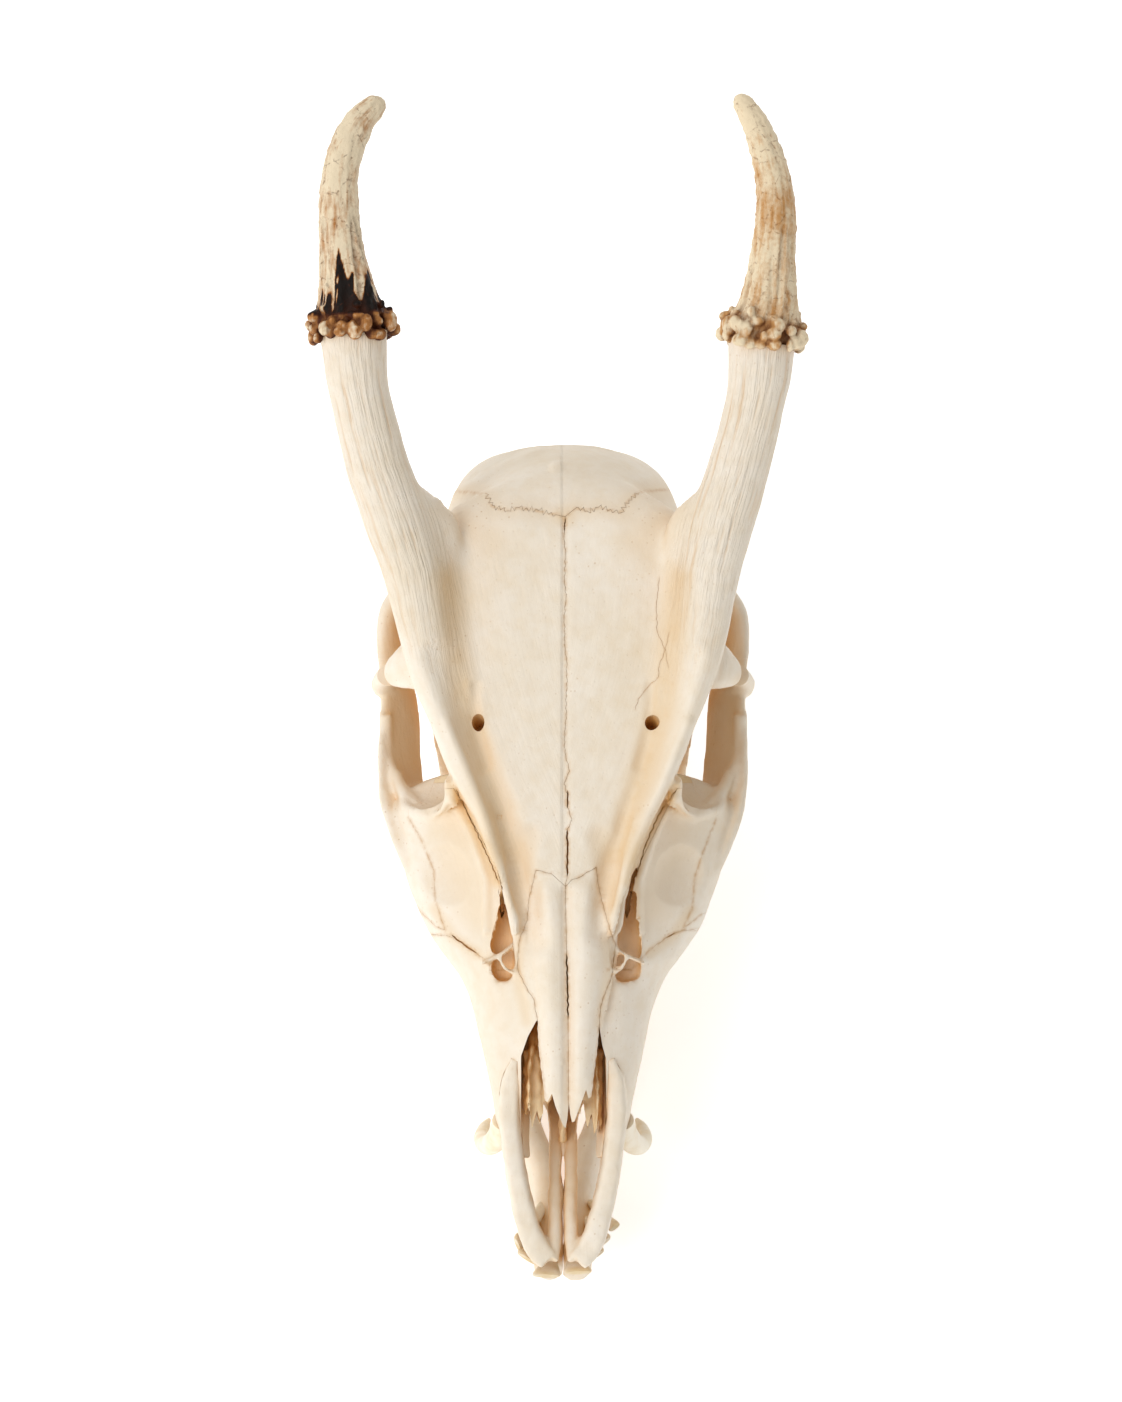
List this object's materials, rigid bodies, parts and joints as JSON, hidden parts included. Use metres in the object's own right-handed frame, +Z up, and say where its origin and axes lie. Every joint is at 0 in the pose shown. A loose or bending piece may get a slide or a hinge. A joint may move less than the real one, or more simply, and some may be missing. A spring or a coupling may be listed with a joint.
{
  "type": "muntjac skull",
  "caption": "Skull of a muntjac buck with its lower jaw, curled tusks, long antler stalks and short hooked antlers, lying on its lower jaw.",
  "frame": {"origin": "centre of the bounding box on the plane that the lower jaw rests on", "axes": "-Y the way the snout points, +X the animal's left, +Z up; the flat of the forehead rises 25 degrees towards +Y"},
  "size_m": [0.1004, 0.2082, 0.1417],
  "materials": {
    "bone": "dry, cleaned cream bone, matte with a faint sheen",
    "shaded_bone": "tan bone of the deep parts, matte",
    "antler": "grooved antler, cream with brown and black stain near the burr",
    "ivory": "smooth tooth with a soft gloss"
  },
  "bodies": {
    "root": {"antler_l": "antler", "antler_r": "antler", "frontal_l": "bone", "frontal_r": "bone", "jugal_l": "bone", "jugal_r": "bone", "lacrimal_l": "bone", "lacrimal_r": "bone", "mandible_l": "bone", "mandible_r": "bone", "maxilla_l": "bone", "maxilla_r": "bone", "nasal_l": "bone", "nasal_r": "bone", "pedicel_l": "bone", "pedicel_r": "bone", "premaxilla_l": "bone", "premaxilla_r": "bone", "temporal_l": "bone", "temporal_r": "bone", "tusk_l": "ivory", "tusk_r": "ivory", "occipital": "bone", "parietals": "bone", "sphenoid": "shaded_bone", "turbinates": "shaded_bone"}
  },
  "joints": []
}
